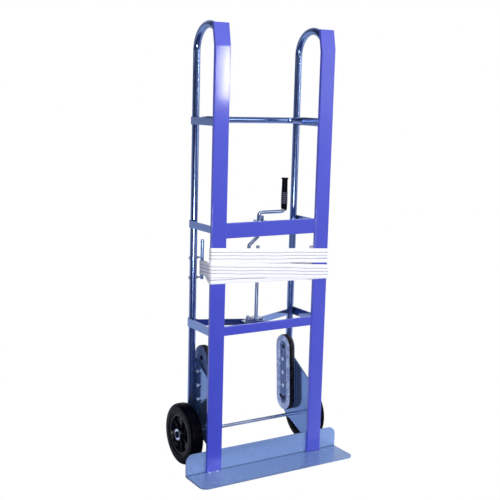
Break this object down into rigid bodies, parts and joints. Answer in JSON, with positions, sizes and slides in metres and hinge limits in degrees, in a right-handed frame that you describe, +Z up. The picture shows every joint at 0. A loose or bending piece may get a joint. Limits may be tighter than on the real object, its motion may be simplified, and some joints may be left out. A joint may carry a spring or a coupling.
{
  "type": "hand truck",
  "caption": "Tall two-wheeled appliance hand truck with bent toe plate, channel rails, looped tube handles, belt winch with crank, stored webbing strap and stair climber belts.",
  "frame": {"origin": "on the ground under the centre of the bounding box, the truck standing upright on its toe plate and wheels", "axes": "+Z up, -Y forwards over the toe plate, +X across the truck towards the crank arm as it is stored"},
  "size_m": [0.627, 0.3536, 1.5348],
  "materials": {
    "rail_blue": "glossy violet-blue powder coat",
    "frame_grey": "glossy blue-grey enamel that mirrors its surroundings",
    "zinc_steel": "bright zinc plated steel",
    "tyre_rubber": "solid black rubber, slightly shiny ribbed tread",
    "belt_rubber": "black moulded rubber with cross lugs",
    "hub_black": "black moulded hub with a soft gloss",
    "bronze": "oiled sintered bronze",
    "nylon": "dark nylon",
    "grip_black": "black moulded grip with rows of pips",
    "webbing": "white woven polyester webbing with three grey lines"
  },
  "bodies": {
    "root": {"axle": "zinc_steel", "axle_caps": "zinc_steel", "axle_spacers": "zinc_steel", "belt_guide_rod": "frame_grey", "climber_belt_left": "belt_rubber", "climber_belt_right": "belt_rubber", "climber_bolts": "zinc_steel", "climber_inner_plate_left": "frame_grey", "climber_inner_plate_right": "frame_grey", "climber_nuts": "zinc_steel", "climber_outer_plate_left": "frame_grey", "climber_outer_plate_right": "frame_grey", "climber_sleeves": "zinc_steel", "guide_bolts": "zinc_steel", "guide_nuts": "zinc_steel", "lower_bearing_plate": "frame_grey", "lower_crossbar": "rail_blue", "lower_side_bracket_left": "frame_grey", "lower_side_bracket_right": "frame_grey", "mid_side_bracket_left": "frame_grey", "mid_side_bracket_right": "frame_grey", "pawl_pin": "zinc_steel", "pawl_spring": "zinc_steel", "rail_left": "rail_blue", "rail_right": "rail_blue", "rear_tube_left": "frame_grey", "rear_tube_right": "frame_grey", "rear_v_strap": "frame_grey", "roller_pins": "zinc_steel", "side_plate_left": "frame_grey", "side_plate_right": "frame_grey", "strap_end_clip": "zinc_steel", "strap_lower_pass": "webbing", "strap_second_pass": "webbing", "strap_side_run": "webbing", "strap_upper_pass": "webbing", "toe_plate": "frame_grey", "upper_cross_bar": "frame_grey", "upper_crossbar": "rail_blue", "upper_shaft_bracket": "frame_grey", "upper_side_bracket_left": "frame_grey", "upper_side_bracket_right": "frame_grey", "wheel_washers": "zinc_steel"},
    "wheel_left": {"tyre_left": "tyre_rubber", "wheel_hub_left": "hub_black", "wheel_bush_left": "bronze"},
    "wheel_right": {"tyre_right": "tyre_rubber", "wheel_hub_right": "hub_black", "wheel_bush_right": "bronze"},
    "crank": {"winding_shaft": "zinc_steel", "crank_rod": "zinc_steel", "crank_grip": "grip_black", "ratchet_wheel": "zinc_steel", "shaft_collar": "zinc_steel"},
    "pawl_arm": {"pawl": "zinc_steel"},
    "upper_roller_left": {"climber_upper_roller_left": "nylon"},
    "lower_roller_left": {"climber_lower_roller_left": "nylon"},
    "upper_roller_right": {"climber_upper_roller_right": "nylon"},
    "lower_roller_right": {"climber_lower_roller_right": "nylon"}
  },
  "joints": [
    {"name": "wheel_left_spin", "type": "hinge", "parent": "root", "child": "wheel_left", "pos_m": [-0.2576, 0.06825, 0.1085], "axis": [1, 0, 0], "continuous": true},
    {"name": "wheel_right_spin", "type": "hinge", "parent": "root", "child": "wheel_right", "pos_m": [0.2576, 0.06825, 0.1085], "axis": [1, 0, 0], "continuous": true},
    {"name": "crank_turn", "type": "hinge", "parent": "root", "child": "crank", "pos_m": [0, 0.02325, 0.55], "axis": [0, 0, 1], "continuous": true},
    {"name": "pawl_lift", "type": "hinge", "parent": "root", "child": "pawl_arm", "pos_m": [-0.041, 0.01325, 0.511], "axis": [0, 0, -1], "range_deg": [0, 24], "stiffness_Nm_per_rad": 0.02, "springref_deg": -17.19},
    {"name": "climber_upper_roller_left_spin", "type": "hinge", "parent": "root", "child": "upper_roller_left", "pos_m": [-0.1743, 0.08709, 0.37076], "axis": [1, 0, 0], "continuous": true},
    {"name": "climber_lower_roller_left_spin", "type": "hinge", "parent": "root", "child": "lower_roller_left", "pos_m": [-0.1743, 0.07341, 0.17524], "axis": [1, 0, 0], "continuous": true},
    {"name": "climber_upper_roller_right_spin", "type": "hinge", "parent": "root", "child": "upper_roller_right", "pos_m": [0.1743, 0.08709, 0.37076], "axis": [1, 0, 0], "continuous": true},
    {"name": "climber_lower_roller_right_spin", "type": "hinge", "parent": "root", "child": "lower_roller_right", "pos_m": [0.1743, 0.07341, 0.17524], "axis": [1, 0, 0], "continuous": true}
  ],
  "couplings": [
    {"joint": "climber_lower_roller_left_spin", "follows": "climber_upper_roller_left_spin", "ratio": 1},
    {"joint": "climber_lower_roller_right_spin", "follows": "climber_upper_roller_right_spin", "ratio": 1}
  ]
}
